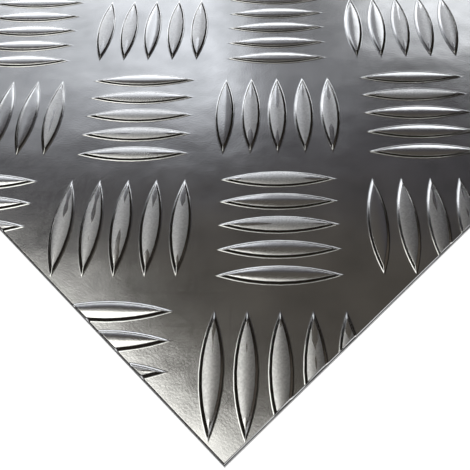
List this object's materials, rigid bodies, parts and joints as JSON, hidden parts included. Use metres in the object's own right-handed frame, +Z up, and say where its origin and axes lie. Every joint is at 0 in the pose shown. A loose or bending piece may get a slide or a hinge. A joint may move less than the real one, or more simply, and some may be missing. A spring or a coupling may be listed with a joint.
{
  "type": "aluminium checker plate",
  "caption": "Flat rectangular aluminium sheet with a raised tread of pointed lens-shaped bars in alternating groups, for slip-resistant floors, steps, ramps and cladding.",
  "frame": {"origin": "middle of the sheet's flat underside", "axes": "+X along the rolling direction, +Y across it, +Z up through the raised bars"},
  "size_m": [0.2, 0.2, 0.002],
  "materials": {
    "mill_aluminium": "bright mill finish with fine rolling lines"
  },
  "bodies": {
    "root": {"checker_plate": "mill_aluminium"}
  },
  "joints": []
}
